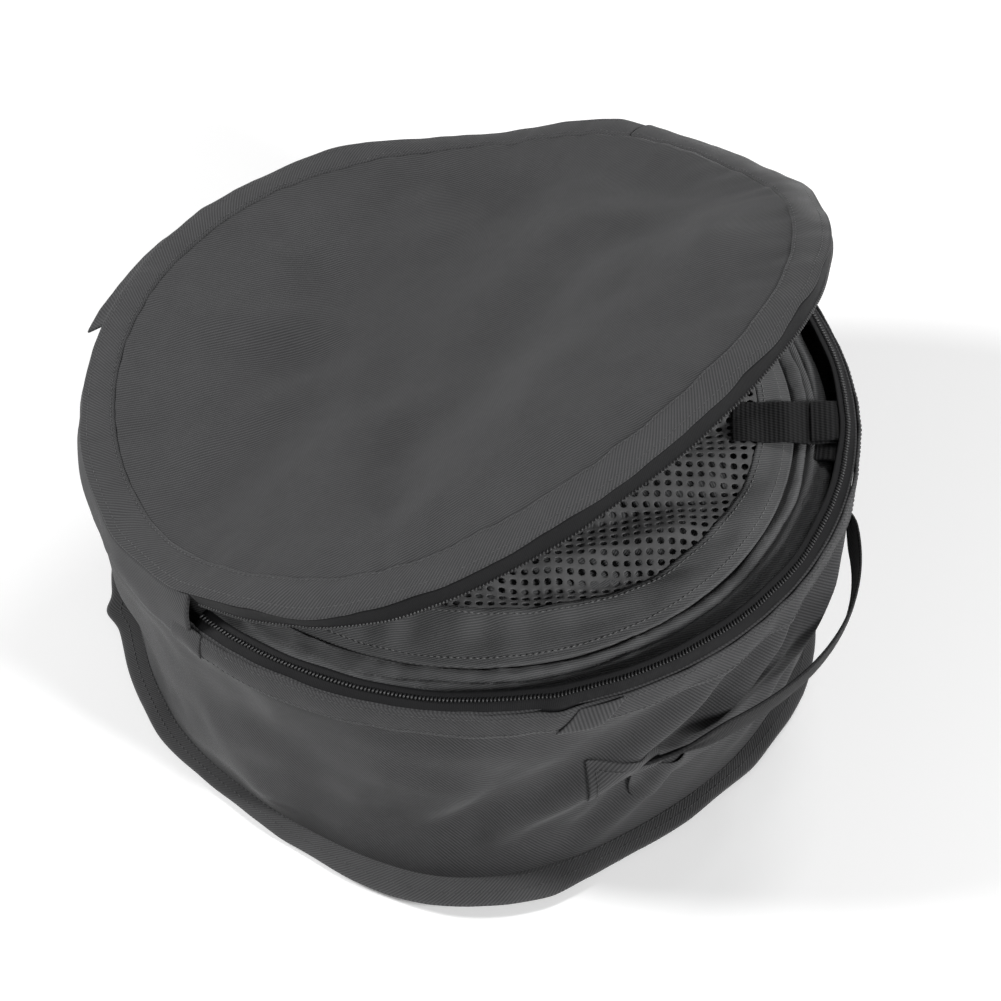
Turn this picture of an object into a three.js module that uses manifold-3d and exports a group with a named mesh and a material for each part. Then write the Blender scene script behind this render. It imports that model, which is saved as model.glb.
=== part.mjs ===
// Round zipped carry case with a folding lid, holding a pop-up fabric panel set on coiled spring hoops.
// Millimetres, +Z up. The origin is the centre of the base's underside.
// The lid folds along a line parallel to X on the +Y side. The mouth and the carry handle face -Y.
// Azimuths are in degrees, counter-clockwise from +X seen from above.

import * as THREE from 'three';
import { ParametricGeometry } from 'three/addons/geometries/ParametricGeometry.js';
import { mergeVertices } from 'three/addons/utils/BufferGeometryUtils.js';
import Module from 'manifold-3d';

const wasm = await Module();
wasm.setup();

// ---------------------------------------------------------------- driving dimensions

const GAP = 0.3; // between two pieces that touch
const TURN_STEPS = 60; // facets round the case

const RIM_RADIUS = 198; // outside of the drum wall at its rim
const BASE_RADIUS = 176; // outside of the drum wall at the base
const RIM_HEIGHT = 150;
const CUFF_HEIGHT = 15; // upright top of the wall, above its cone
const WALL_THICKNESS = 2;
const BASE_THICKNESS = 2;
const BASE_HEM_WIDTH = 16;
const BASE_HEM_THICKNESS = 2.4;
const BASE_HEM_LIFT = 1; // underside of the hem above the floor
const BINDING_THICKNESS = 1.4;
const BINDING_HEIGHT = 16;

const HEADROOM = 14; // rim to the closed lid's underside, taken up by the two zip tapes
const LID_THICKNESS = 2;
const LID_HEM_WIDTH = 17;
const FOLD_Y = 45; // the line that the lid folds along
const LID_OPEN = 33; // opening angle as modelled

const ZIP_END_TO_LID_COIL = 6; // degrees of rim left for the parked slider
const TAPE_THICKNESS = 1.1;
const TAPE_RISE = 3; // from the rim to the tape's coil edge
const COIL_INSET = 3.8; // coil's outer side inside the wall's outside
const COIL_WIDTH = 2.2;
const COIL_DEPTH = 2.2;
const END_COVER_SPAN = 6; // degrees
const END_COVER_INSET = 1; // degrees that a cover reaches over the zip
const END_COVER_HEIGHT = 18;
const END_COVER_THICKNESS = 1;

const SLIDER_LENGTH = 12;
const SLIDER_PLATE = 1.4;
const SLIDER_CLEARANCE = 0.4;
const SLIDER_PARK = 3; // degrees from the zip's end to the parked slider's middle
const EAR_THICKNESS = 1.2;
const EAR_SPACING = 7; // between the ears' inner faces
const PULL_PIN_RADIUS = 0.9;
const PULL_EYE_RADIUS = 2.4;
const PULL_LENGTH = 36;
const PULL_THICKNESS = 1.4;
const PULL_WIDTH = 8;

const HANDLE_HEIGHT = 80; // of its sewn ends
const HANDLE_HALF_SPAN = 35; // degrees, from the middle of the mouth side to each end
const HANDLE_WIDTH = 25;
const HANDLE_THICKNESS = 2;
const HANDLE_FINGER_GAP = 15; // from the drum's rim radius out to the middle of the bow
const HANDLE_LIFT = 16; // degrees above level as modelled
const HANDLE_NECK_WIDTH = 3.4; // rolled end of the webbing
const HANDLE_NECK_LENGTH = 24;
const HANDLE_NECK_CLEARANCE = 2.3; // middle of the neck to the sewn tab
const HANDLE_TAB_HEIGHT = 24;
const HANDLE_TAB_SPAN = 8; // degrees, outwards from the sewn end
const HANDLE_TAB_SETBACK = 0.3; // degrees from the loop's end to its tab
const HANDLE_TAB_THICKNESS = 1.6;

const HOOP_COUNT = 3;
const HOOP_TURNS = 3; // a closed hoop winds three times when it is folded
const HOOP_STEPS = 24; // facets in each turn
const SLEEVE_HALF_WIDTH = 5.4;
const SLEEVE_TURN_GAP = 0.5; // between a hoop's neighbouring turns
const SLEEVE_SLIT = 1.6; // where the panel is sewn in
const CHANNEL_WIDTH = 4.4;
const CHANNEL_HEIGHT = 9.6;
const BAND_THICKNESS = 1.2;
const BAND_HEIGHT = 6;
const FERRULE_WALL = 1;
const FERRULE_LENGTH = 20;
const STACK_DROP = 0.4; // top of the upper hoop below the rim
const STACK_CLEARANCE = 1; // between the hoops and the drum wall

const WINDOW_RADIUS = 146;
const WINDOW_X = 10;
const WINDOW_Y = -6;
const TOP_SHEET_THICKNESS = 1.5;
const TOP_SHEET_DROP = 3; // upper side of the top sheet below the top of the rim
const KEEPER_AZIMUTH = 298; // degrees
const KEEPER_WIDTH = 30;
const KEEPER_INNER_RADIUS = 141;
const KEEPER_THICKNESS = 1.4;
const KEEPER_TAB_AZIMUTH = 293; // degrees
const KEEPER_TAB_SPAN = 12; // degrees
const KEEPER_TAB_HEIGHT = 30;
const KEEPER_TAB_THICKNESS = 1.2;

// ---------------------------------------------------------------- derived sizes

const coneTop = RIM_HEIGHT - CUFF_HEIGHT;
const wallOutside = (z) => BASE_RADIUS + (RIM_RADIUS - BASE_RADIUS) * Math.min(z / coneTop, 1);
const wallInside = (z) => wallOutside(z) - WALL_THICKNESS;
const bindingInside = RIM_RADIUS + GAP;
const bindingOutside = bindingInside + BINDING_THICKNESS;
const lidUnderside = RIM_HEIGHT + HEADROOM;
const lidTop = lidUnderside + LID_THICKNESS;
const lidRadius = bindingOutside;
const lidPanelRadius = lidRadius - LID_HEM_WIDTH;

const coilOutside = RIM_RADIUS - COIL_INSET;
const coilInside = coilOutside - COIL_WIDTH;
const coilMiddle = (coilInside + coilOutside) / 2;
const drumCoilBottom = RIM_HEIGHT + 2 * GAP + TAPE_RISE + TAPE_THICKNESS;
const drumCoilTop = drumCoilBottom + COIL_DEPTH;
const lidCoilBottom = drumCoilTop + SLIDER_CLEARANCE;
const lidCoilTop = lidCoilBottom + COIL_DEPTH;
const foldAzimuth = THREE.MathUtils.radToDeg(Math.asin(FOLD_Y / RIM_RADIUS));
const zipStart = 180 - foldAzimuth;
const zipEnd = 360 + foldAzimuth;

const sliderPlateInside = coilInside - SLIDER_CLEARANCE - SLIDER_PLATE;
const keeperTabInside = sliderPlateInside - 2 * GAP - KEEPER_TAB_THICKNESS;
const discRadius = keeperTabInside - GAP;
const stackTop = RIM_HEIGHT - STACK_DROP;
// Three turns stand a third of a circle apart, so neighbours lie this share of twice the sway apart.
const turnShare = Math.sin(Math.PI / HOOP_TURNS);
const hoopSway = (SLEEVE_HALF_WIDTH + SLEEVE_TURN_GAP / 2) / turnShare;
const hoopSpread = hoopSway + SLEEVE_HALF_WIDTH;
const facetShrink = Math.cos(Math.PI / HOOP_STEPS);

// ---------------------------------------------------------------- materials

function finish(color, roughness, metalness = 0) {
  return () => new THREE.MeshStandardMaterial({ color, roughness, metalness });
}
const caseFabric = finish(0x3d3d3d, 0.75);
const hemFabric = finish(0x383838, 0.8);
const panelFabric = finish(0x454545, 0.8);
const meshFabric = finish(0x505050, 0.9);
const zipTape = finish(0x0c0c0c, 0.85);
const zipCoil = finish(0x141414, 0.45);
const webbing = finish(0x0a0a0a, 0.85);
const blackMetal = finish(0x1c1c1c, 0.35, 0.8);
const springSteel = finish(0x8a8d90, 0.35, 1);

// ---------------------------------------------------------------- geometry helpers

const radians = THREE.MathUtils.degToRad;

function toSolid(geometry) {
  const bare = geometry.clone();
  bare.deleteAttribute('normal');
  bare.deleteAttribute('uv');
  const merged = mergeVertices(bare, 1e-4);
  const vertProperties = new Float32Array(merged.attributes.position.array);
  const triVerts = new Uint32Array(merged.index.array);
  return new wasm.Manifold(new wasm.Mesh({ numProp: 3, vertProperties, triVerts }));
}

function toGeometry(solid) {
  const mesh = solid.getMesh();
  const geometry = new THREE.BufferGeometry();
  geometry.setAttribute('position', new THREE.BufferAttribute(new Float32Array(mesh.vertProperties), 3));
  geometry.setIndex(new THREE.BufferAttribute(new Uint32Array(mesh.triVerts), 1));
  return geometry;
}

const intersect = (a, b) => toGeometry(toSolid(a).intersect(toSolid(b)));
const subtract = (a, b) => toGeometry(toSolid(a).subtract(toSolid(b)));
const union = (...pieces) => toGeometry(pieces.map(toSolid).reduce((sum, next) => sum.add(next)));

function signedArea(points) {
  return points.reduce((sum, [x, y], i) => {
    const [nextX, nextY] = points[(i + 1) % points.length];
    return sum + (x * nextY - nextX * y) / 2;
  }, 0);
}

// A ring turned about Z from a closed outline of [radius, z] points.
function turnedRing(outline) {
  const ordered = signedArea(outline) > 0 ? outline : [...outline].reverse();
  const points = [...ordered, ordered[0]].map(([r, z]) => new THREE.Vector2(r, z));
  return new THREE.LatheGeometry(points, TURN_STEPS).rotateX(Math.PI / 2);
}

function turnedBand(inside, outside, bottom, top) {
  return turnedRing([[inside, bottom], [outside, bottom], [outside, top], [inside, top]]);
}

function turnedDisc(radius, bottom, top) {
  const corners = [[0, bottom], [radius, bottom], [radius, top], [0, top]];
  const points = corners.map(([r, z]) => new THREE.Vector2(r, z));
  return new THREE.LatheGeometry(points, TURN_STEPS).rotateX(Math.PI / 2);
}

// A flat strip's outline from one edge to the other, with upright ends.
function stripOutline(r0, z0, r1, z1, thickness) {
  return [[r0, z0], [r0, z0 + thickness], [r1, z1 + thickness], [r1, z1]];
}

// A six-sided outline, pointed at the inner and outer side.
function coilOutline(r0, r1, z0, z1) {
  const cut = (r1 - r0) / 3;
  const middle = (z0 + z1) / 2;
  return [[r0 + cut, z0], [r1 - cut, z0], [r1, middle], [r1 - cut, z1], [r0 + cut, z1], [r0, middle]];
}

const far = 3 * RIM_RADIUS; // well outside the case

// The part of a turned shape that lies between two azimuths.
function sector(geometry, from, to) {
  const wedge = new THREE.Shape();
  wedge.moveTo(0, 0);
  wedge.lineTo(far * Math.cos(radians(from)), far * Math.sin(radians(from)));
  wedge.absarc(0, 0, far, radians(from), radians(to), false);
  const prism = new THREE.ExtrudeGeometry(wedge, { depth: far, bevelEnabled: false, curveSegments: 24 });
  return intersect(geometry, prism.translate(0, 0, -far / 2));
}

function box(x0, x1, y0, y1, z0, z1) {
  const block = new THREE.BoxGeometry(x1 - x0, y1 - y0, z1 - z0);
  return block.translate((x0 + x1) / 2, (y0 + y1) / 2, (z0 + z1) / 2);
}

const inFrontOf = (geometry, y) => intersect(geometry, box(-far, far, -far, y, -far, far));
const behind = (geometry, y) => intersect(geometry, box(-far, far, y, far, -far, far));

// A round bar along Y.
function barAlongY(x, z, radius, halfLength) {
  return new THREE.CylinderGeometry(radius, radius, 2 * halfLength, 16).translate(x, 0, z);
}

const model = new THREE.Group();

function addPiece(parent, name, geometry, material) {
  const piece = new THREE.Mesh(geometry, material());
  piece.name = name;
  parent.add(piece);
}

// ---------------------------------------------------------------- drum

function buildDrum() {
  const wall = turnedRing([
    [wallInside(0), 0],
    [wallOutside(0), 0],
    [RIM_RADIUS, coneTop],
    [RIM_RADIUS, RIM_HEIGHT],
    [RIM_RADIUS - WALL_THICKNESS, RIM_HEIGHT],
    [RIM_RADIUS - WALL_THICKNESS, coneTop],
  ]);
  addPiece(model, 'drum_wall', wall, caseFabric);
  addPiece(model, 'base_panel', turnedDisc(wallInside(0) - GAP, 0, BASE_THICKNESS), caseFabric);

  const hemTop = BASE_HEM_LIFT + BASE_HEM_THICKNESS;
  const hemInside = wallOutside(hemTop) + GAP;
  const hem = turnedBand(hemInside, BASE_RADIUS + BASE_HEM_WIDTH, BASE_HEM_LIFT, hemTop);
  addPiece(model, 'base_hem', hem, hemFabric);

  const bindingBottom = RIM_HEIGHT - BINDING_HEIGHT;
  const binding = turnedBand(bindingInside, bindingOutside, bindingBottom, RIM_HEIGHT);
  addPiece(model, 'drum_binding', sector(binding, zipStart, zipEnd), hemFabric);

  // A plain strip takes the zip's place behind the fold line and ties the lid to the wall.
  const gusset = turnedBand(bindingInside, bindingOutside, bindingBottom, lidUnderside - GAP);
  const seam = 0.2; // degrees between the strip and the binding
  addPiece(model, 'hinge_gusset', sector(gusset, zipEnd - 360 + seam, zipStart - seam), caseFabric);
}

// ---------------------------------------------------------------- zip

function buildDrumZip() {
  const tapeInside = coilMiddle - COIL_WIDTH / 2 + GAP;
  const tapeOutside = RIM_RADIUS - GAP;
  const tapeFoot = RIM_HEIGHT + GAP;
  const tapeEdge = tapeFoot + TAPE_RISE;
  const tape = turnedRing(stripOutline(tapeOutside, tapeFoot, tapeInside, tapeEdge, TAPE_THICKNESS));
  addPiece(model, 'drum_zip_tape', sector(tape, zipStart, zipEnd), zipTape);

  const coil = turnedRing(coilOutline(coilInside, coilOutside, drumCoilBottom, drumCoilTop));
  addPiece(model, 'drum_zip_coil', sector(coil, zipStart, zipEnd), zipCoil);

  // Fabric tabs that close off the two ends of the zip, over the joint of binding and gusset.
  const coverInside = bindingOutside + GAP;
  const coverTop = RIM_HEIGHT + 2;
  const coverOutside = coverInside + END_COVER_THICKNESS;
  const cover = turnedBand(coverInside, coverOutside, coverTop - END_COVER_HEIGHT, coverTop);
  const leftFrom = zipStart + END_COVER_INSET - END_COVER_SPAN;
  const rightFrom = zipEnd - END_COVER_INSET;
  addPiece(model, 'zip_end_cover_left', sector(cover, leftFrom, leftFrom + END_COVER_SPAN), hemFabric);
  addPiece(model, 'zip_end_cover_right', sector(cover, rightFrom, rightFrom + END_COVER_SPAN), hemFabric);
}

// The slider straddles the two coils. It is parked at the +X end of the zip, with its pull hanging outside.
function buildSlider() {
  const halfLength = SLIDER_LENGTH / 2;
  const plateTop = lidCoilTop + GAP;
  const bridgeHalfLength = 2;
  const outerPlateInside = coilOutside + SLIDER_CLEARANCE;
  const outerPlateOutside = outerPlateInside + SLIDER_PLATE;
  const innerPlateOutside = sliderPlateInside + SLIDER_PLATE;
  const innerPlateBottom = drumCoilBottom - 1;
  const innerPlate = box(
    sliderPlateInside, innerPlateOutside, -halfLength, halfLength, innerPlateBottom, plateTop,
  );
  const outerPlate = box(
    outerPlateInside, outerPlateOutside, -halfLength, halfLength, drumCoilBottom - GAP, plateTop,
  );
  const bridgeBottom = drumCoilTop + SLIDER_CLEARANCE;
  const bridge = box(
    sliderPlateInside, outerPlateOutside, -bridgeHalfLength, bridgeHalfLength, bridgeBottom, plateTop,
  );

  const pinX = bindingOutside;
  const pinZ = drumCoilTop + 1.2;
  const earReach = 1; // of the ear past the pin's middle
  const earHalfHeight = 1.2;
  const earFace = EAR_SPACING / 2;
  const ears = [-1, 1].map((side) => {
    const nearFace = side * earFace;
    const farFace = side * (earFace + EAR_THICKNESS);
    return box(
      outerPlateInside, pinX + earReach, Math.min(nearFace, farFace), Math.max(nearFace, farFace),
      pinZ - earHalfHeight, pinZ + earHalfHeight,
    );
  });
  const pin = barAlongY(pinX, pinZ, PULL_PIN_RADIUS, earFace + EAR_THICKNESS / 2);

  const pullInside = bindingOutside + 5 * GAP;
  const eye = barAlongY(pinX, pinZ, PULL_EYE_RADIUS, earFace - GAP);
  const eyeHole = barAlongY(pinX, pinZ, PULL_PIN_RADIUS + GAP, EAR_SPACING);
  const blade = box(
    pullInside, pullInside + PULL_THICKNESS, -PULL_WIDTH / 2, PULL_WIDTH / 2, pinZ - PULL_LENGTH, pinZ,
  );

  const carrier = new THREE.Group();
  carrier.rotation.z = radians(zipEnd - SLIDER_PARK);
  model.add(carrier);
  addPiece(carrier, 'zip_slider', union(innerPlate, outerPlate, bridge, ...ears, pin), blackMetal);
  addPiece(carrier, 'pull_tab', subtract(union(eye, blade), eyeHole), blackMetal);
}

// ---------------------------------------------------------------- lid

function buildLid() {
  const panel = turnedDisc(lidPanelRadius - GAP, lidUnderside, lidTop);
  const hem = turnedBand(lidPanelRadius, lidRadius, lidUnderside, lidTop);
  addPiece(model, 'lid_rear_panel', behind(panel, FOLD_Y + GAP / 2), caseFabric);
  addPiece(model, 'lid_rear_hem', behind(hem, FOLD_Y + GAP / 2), hemFabric);

  const tapeInside = coilMiddle - COIL_WIDTH / 2 + GAP;
  const tapeHead = lidUnderside - GAP - TAPE_THICKNESS;
  const tapeEdge = lidCoilTop + GAP;
  const tape = turnedRing(stripOutline(RIM_RADIUS - GAP, tapeHead, tapeInside, tapeEdge, TAPE_THICKNESS));
  const coil = turnedRing(coilOutline(coilInside, coilOutside, lidCoilBottom, lidCoilTop));
  const from = zipStart + ZIP_END_TO_LID_COIL;
  const to = zipEnd - ZIP_END_TO_LID_COIL;

  const flap = new THREE.Group();
  flap.position.set(0, FOLD_Y, lidTop);
  flap.rotation.x = -radians(LID_OPEN);
  model.add(flap);
  const onFold = (geometry) => geometry.translate(0, -FOLD_Y, -lidTop);
  addPiece(flap, 'lid_flap_panel', onFold(inFrontOf(panel, FOLD_Y - GAP / 2)), caseFabric);
  addPiece(flap, 'lid_flap_hem', onFold(inFrontOf(hem, FOLD_Y - GAP / 2)), hemFabric);
  addPiece(flap, 'lid_zip_tape', onFold(sector(tape, from, to)), zipTape);
  addPiece(flap, 'lid_zip_coil', onFold(sector(coil, from, to)), zipCoil);
}

// ---------------------------------------------------------------- carry handle

function buildHandle() {
  const tabBottom = HANDLE_HEIGHT - HANDLE_TAB_HEIGHT / 2;
  const tabTop = HANDLE_HEIGHT + HANDLE_TAB_HEIGHT / 2;
  const tabRing = turnedRing([
    [wallOutside(tabBottom) + GAP, tabBottom],
    [wallOutside(tabBottom) + GAP + HANDLE_TAB_THICKNESS, tabBottom],
    [wallOutside(tabTop) + GAP + HANDLE_TAB_THICKNESS, tabTop],
    [wallOutside(tabTop) + GAP, tabTop],
  ]);
  const mouthAzimuth = 270;
  const leftEnd = mouthAzimuth - HANDLE_HALF_SPAN - HANDLE_TAB_SETBACK;
  const rightEnd = mouthAzimuth + HANDLE_HALF_SPAN + HANDLE_TAB_SETBACK;
  addPiece(model, 'handle_tab_left', sector(tabRing, leftEnd - HANDLE_TAB_SPAN, leftEnd), webbing);
  addPiece(model, 'handle_tab_right', sector(tabRing, rightEnd, rightEnd + HANDLE_TAB_SPAN), webbing);

  // The webbing bows out in a parabola between its two sewn ends, and its ends are rolled narrow.
  const endRadius = wallOutside(HANDLE_HEIGHT) + GAP + HANDLE_TAB_THICKNESS + HANDLE_NECK_CLEARANCE;
  const halfChord = endRadius * Math.sin(radians(HANDLE_HALF_SPAN));
  const chordY = -endRadius * Math.cos(radians(HANDLE_HALF_SPAN));
  const bowDepth = (RIM_RADIUS + HANDLE_FINGER_GAP + chordY) / Math.cos(radians(HANDLE_LIFT));
  const bowSteps = 24;
  const edge = (side) => Array.from({ length: bowSteps + 1 }, (_, i) => {
    const t = (2 * i) / bowSteps - 1;
    const slope = (-2 * bowDepth * t) / halfChord;
    const offset = (side * HANDLE_THICKNESS) / 2 / Math.hypot(1, slope);
    return new THREE.Vector2(t * halfChord - slope * offset, bowDepth * (1 - t * t) + offset);
  });
  const bow = new THREE.ExtrudeGeometry(new THREE.Shape([...edge(-1), ...edge(1).reverse()]), {
    depth: HANDLE_WIDTH, bevelEnabled: false,
  });
  bow.translate(0, 0, -HANDLE_WIDTH / 2);

  const end = halfChord + HANDLE_THICKNESS;
  const shoulder = halfChord - HANDLE_NECK_LENGTH;
  const neck = HANDLE_NECK_WIDTH / 2;
  const wide = HANDLE_WIDTH;
  const plan = new THREE.Shape([
    [-end, -neck], [-shoulder, -wide / 2], [shoulder, -wide / 2], [end, -neck],
    [end, neck], [shoulder, wide / 2], [-shoulder, wide / 2], [-end, neck],
  ].map(([x, y]) => new THREE.Vector2(x, y)));
  const reach = 2 * bowDepth;
  const planPrism = new THREE.ExtrudeGeometry(plan, { depth: 2 * reach, bevelEnabled: false });
  planPrism.translate(0, 0, -reach).rotateX(Math.PI / 2);

  const swing = new THREE.Group();
  swing.position.set(0, chordY, HANDLE_HEIGHT);
  swing.rotation.x = Math.PI - radians(HANDLE_LIFT);
  model.add(swing);
  addPiece(swing, 'carry_handle', intersect(bow, planPrism), webbing);
}

// ---------------------------------------------------------------- folded hoops

// A surface whose outline of [out, up] offsets follows a hoop through its three turns.
function alongHoop(hoop, outline) {
  const place = (u, v, target) => {
    const turned = u * HOOP_TURNS * 2 * Math.PI;
    const phase = turned / HOOP_TURNS + hoop.phase;
    const [out, up] = outline[Math.round(v * outline.length) % outline.length];
    const radius = hoop.radius + hoopSway * Math.cos(phase) + out;
    const z = hoop.z + hoop.rise * Math.sin(phase) + up;
    target.set(radius * Math.cos(turned), radius * Math.sin(turned), z);
  };
  return new ParametricGeometry(place, HOOP_TURNS * HOOP_STEPS, outline.length);
}

// The sleeve's section: a padded oval with a channel for the band, slit on the inner side.
function sleeveOutline(hoop) {
  const onOval = (degrees) => [
    SLEEVE_HALF_WIDTH * Math.cos(radians(degrees)),
    (hoop.halfHeight - hoop.rise) * Math.sin(radians(degrees)),
  ];
  const slit = SLEEVE_SLIT / 2;
  const halfWidth = CHANNEL_WIDTH / 2;
  const halfHeight = CHANNEL_HEIGHT / 2;
  return [
    [-SLEEVE_HALF_WIDTH, -slit],
    ...[225, 270, 315, 360, 405, 450, 495].map(onOval),
    [-SLEEVE_HALF_WIDTH, slit],
    [-halfWidth, halfHeight], [halfWidth, halfHeight], [halfWidth, -halfHeight], [-halfWidth, -halfHeight],
  ];
}

function bandOutline() {
  const out = BAND_THICKNESS / 2;
  const up = BAND_HEIGHT / 2;
  return [[out, -up], [out, up], [-out, up], [-out, -up]];
}

// The crimped tube that joins a band's two ends, on one straight facet of the hoop.
function ferrule(hoop) {
  const spread = (thickness, height) => box(
    -FERRULE_LENGTH / 2, FERRULE_LENGTH / 2, -thickness / 2, thickness / 2, -height / 2, height / 2,
  );
  const insideThickness = BAND_THICKNESS + 2 * GAP;
  const insideHeight = BAND_HEIGHT + 2 * GAP;
  const shell = spread(insideThickness + 2 * FERRULE_WALL, insideHeight + 2 * FERRULE_WALL);
  const hole = spread(insideThickness, insideHeight).scale(2, 1, 1);
  const onHoop = (turned) => {
    const phase = turned / HOOP_TURNS + hoop.phase;
    const radius = hoop.radius + hoopSway * Math.cos(phase);
    return new THREE.Vector3(
      radius * Math.cos(turned), radius * Math.sin(turned), hoop.z + hoop.rise * Math.sin(phase),
    );
  };
  const start = onHoop(0);
  const finishPoint = onHoop((2 * Math.PI) / HOOP_STEPS);
  const along = finishPoint.clone().sub(start).normalize();
  const outward = new THREE.Vector3().crossVectors(along, new THREE.Vector3(0, 0, 1)).normalize();
  const upward = new THREE.Vector3().crossVectors(outward, along).normalize();
  const inward = outward.clone().negate();
  const place = new THREE.Matrix4().makeBasis(along, inward, upward);
  place.setPosition(start.add(finishPoint).multiplyScalar(0.5));
  return subtract(shell, hole).applyMatrix4(place);
}

// The hoops lie one above another in the cone of the drum, each as wide as the wall there allows.
function hoopStack() {
  const stackBottom = BASE_THICKNESS + GAP;
  const pitch = (stackTop - stackBottom) / HOOP_COUNT;
  const halfHeight = (pitch - GAP) / 2;
  // Each hoop's highest point lies under the keeper strap.
  const keeperPhase = radians(90 - KEEPER_AZIMUTH / HOOP_TURNS);
  return Array.from({ length: HOOP_COUNT }, (_, i) => {
    const z = stackTop - halfHeight - (HOOP_COUNT - 1 - i) * pitch;
    const shoulderZ = z - halfHeight / 2;
    const outside = Math.min(discRadius, wallInside(shoulderZ) * facetShrink - STACK_CLEARANCE);
    return {
      z,
      halfHeight,
      rise: (halfHeight + SLEEVE_TURN_GAP / 2) / (1 + turnShare),
      radius: outside - hoopSpread,
      phase: keeperPhase,
      inside: (outside - 2 * hoopSpread) * facetShrink - GAP,
    };
  });
}

function buildDisc() {
  const names = ['lower', 'middle', 'upper'];
  const hoops = hoopStack();
  const sheetTop = stackTop - TOP_SHEET_DROP;
  const sheetBottom = sheetTop - TOP_SHEET_THICKNESS;
  hoops.forEach((hoop, i) => {
    addPiece(model, `hoop_band_${names[i]}`, alongHoop(hoop, bandOutline()), springSteel);
    addPiece(model, `hoop_sleeve_${names[i]}`, alongHoop(hoop, sleeveOutline(hoop)), panelFabric);
    addPiece(model, `hoop_ferrule_${names[i]}`, ferrule(hoop), springSteel);
    const top = Math.min(hoop.z + hoop.halfHeight, sheetBottom - GAP);
    const panel = turnedDisc(hoop.inside, hoop.z - hoop.halfHeight, top);
    addPiece(model, `folded_panel_${names[i]}`, panel, panelFabric);
  });

  // The uppermost layer: a plain border sewn round a large mesh window.
  const upper = hoops[HOOP_COUNT - 1];
  const windowDisc = (radius, bottom, top) =>
    turnedDisc(radius, bottom, top).translate(WINDOW_X, WINDOW_Y, 0);
  const hole = windowDisc(WINDOW_RADIUS, sheetBottom - TOP_SHEET_THICKNESS, sheetTop + TOP_SHEET_THICKNESS);
  const border = subtract(turnedDisc(upper.inside, sheetBottom, sheetTop), hole);
  addPiece(model, 'window_border', border, panelFabric);
  addPiece(model, 'mesh_window', windowDisc(WINDOW_RADIUS - GAP, sheetBottom, sheetTop), meshFabric);

  // A webbing strap lies over the rim and the border, and a short tab hugs the rim's outside.
  const strapLow = sheetTop + GAP;
  const strapHigh = stackTop + GAP;
  const rimInside = upper.radius - hoopSpread;
  const rampStart = rimInside - SLEEVE_HALF_WIDTH;
  const rampEnd = rimInside + SLEEVE_HALF_WIDTH / 2;
  const strapEnd = Math.sqrt(discRadius ** 2 - (KEEPER_WIDTH / 2) ** 2);
  const strapSide = new THREE.Shape([
    [KEEPER_INNER_RADIUS, strapLow], [rampStart, strapLow], [rampEnd, strapHigh], [strapEnd, strapHigh],
    [strapEnd, strapHigh + KEEPER_THICKNESS], [rampEnd, strapHigh + KEEPER_THICKNESS],
    [rampStart, strapLow + KEEPER_THICKNESS], [KEEPER_INNER_RADIUS, strapLow + KEEPER_THICKNESS],
  ].map(([r, z]) => new THREE.Vector2(r, z)));
  const strap = new THREE.ExtrudeGeometry(strapSide, { depth: KEEPER_WIDTH, bevelEnabled: false });
  strap.translate(0, 0, -KEEPER_WIDTH / 2).rotateX(Math.PI / 2).rotateZ(radians(KEEPER_AZIMUTH));
  addPiece(model, 'keeper_strap', strap, webbing);

  const tabTop = stackTop + KEEPER_THICKNESS;
  const tabOutside = keeperTabInside + KEEPER_TAB_THICKNESS;
  const tab = turnedBand(keeperTabInside, tabOutside, tabTop - KEEPER_TAB_HEIGHT, tabTop);
  const tabFrom = KEEPER_TAB_AZIMUTH - KEEPER_TAB_SPAN / 2;
  addPiece(model, 'keeper_tab', sector(tab, tabFrom, tabFrom + KEEPER_TAB_SPAN), webbing);
}

buildDrum();
buildDrumZip();
buildLid();
buildSlider();
buildHandle();
buildDisc();

export default model;
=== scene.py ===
"""Round soft carry case with a zipped, folding lid, holding a pop-up fabric panel on coiled spring hoops.

Shapes are worked out in millimetres and written to the meshes in metres. Azimuths are in degrees,
counter-clockwise from +X seen from above. The lid folds on the +Y side, and its mouth faces -Y.
"""
import math

import bmesh
import bpy
from mathutils import Matrix, Vector, noise


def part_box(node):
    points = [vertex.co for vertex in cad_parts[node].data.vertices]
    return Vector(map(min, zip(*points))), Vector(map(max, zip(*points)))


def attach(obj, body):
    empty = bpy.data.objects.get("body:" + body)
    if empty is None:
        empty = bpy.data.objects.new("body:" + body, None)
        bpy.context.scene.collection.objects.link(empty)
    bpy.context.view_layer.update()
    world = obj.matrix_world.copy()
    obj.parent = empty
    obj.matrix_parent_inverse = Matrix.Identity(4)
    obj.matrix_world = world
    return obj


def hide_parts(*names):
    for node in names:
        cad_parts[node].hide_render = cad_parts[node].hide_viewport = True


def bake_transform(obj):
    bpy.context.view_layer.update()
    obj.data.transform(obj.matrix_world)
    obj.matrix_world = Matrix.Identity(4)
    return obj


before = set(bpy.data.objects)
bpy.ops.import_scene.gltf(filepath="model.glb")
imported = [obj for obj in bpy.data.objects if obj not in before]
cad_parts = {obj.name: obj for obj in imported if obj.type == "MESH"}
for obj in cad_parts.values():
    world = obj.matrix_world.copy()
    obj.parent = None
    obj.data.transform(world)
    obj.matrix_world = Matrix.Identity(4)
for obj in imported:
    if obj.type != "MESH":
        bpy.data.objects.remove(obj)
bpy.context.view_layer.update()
MM = 0.001


# ---------------------------------------------------------------- sizes taken from the frame

def low(node, axis):
    """A node's lowest coordinate on an axis, in mm."""
    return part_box(node)[0][axis] / MM


def high(node, axis):
    """A node's highest coordinate on an axis, in mm."""
    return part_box(node)[1][axis] / MM


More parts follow.
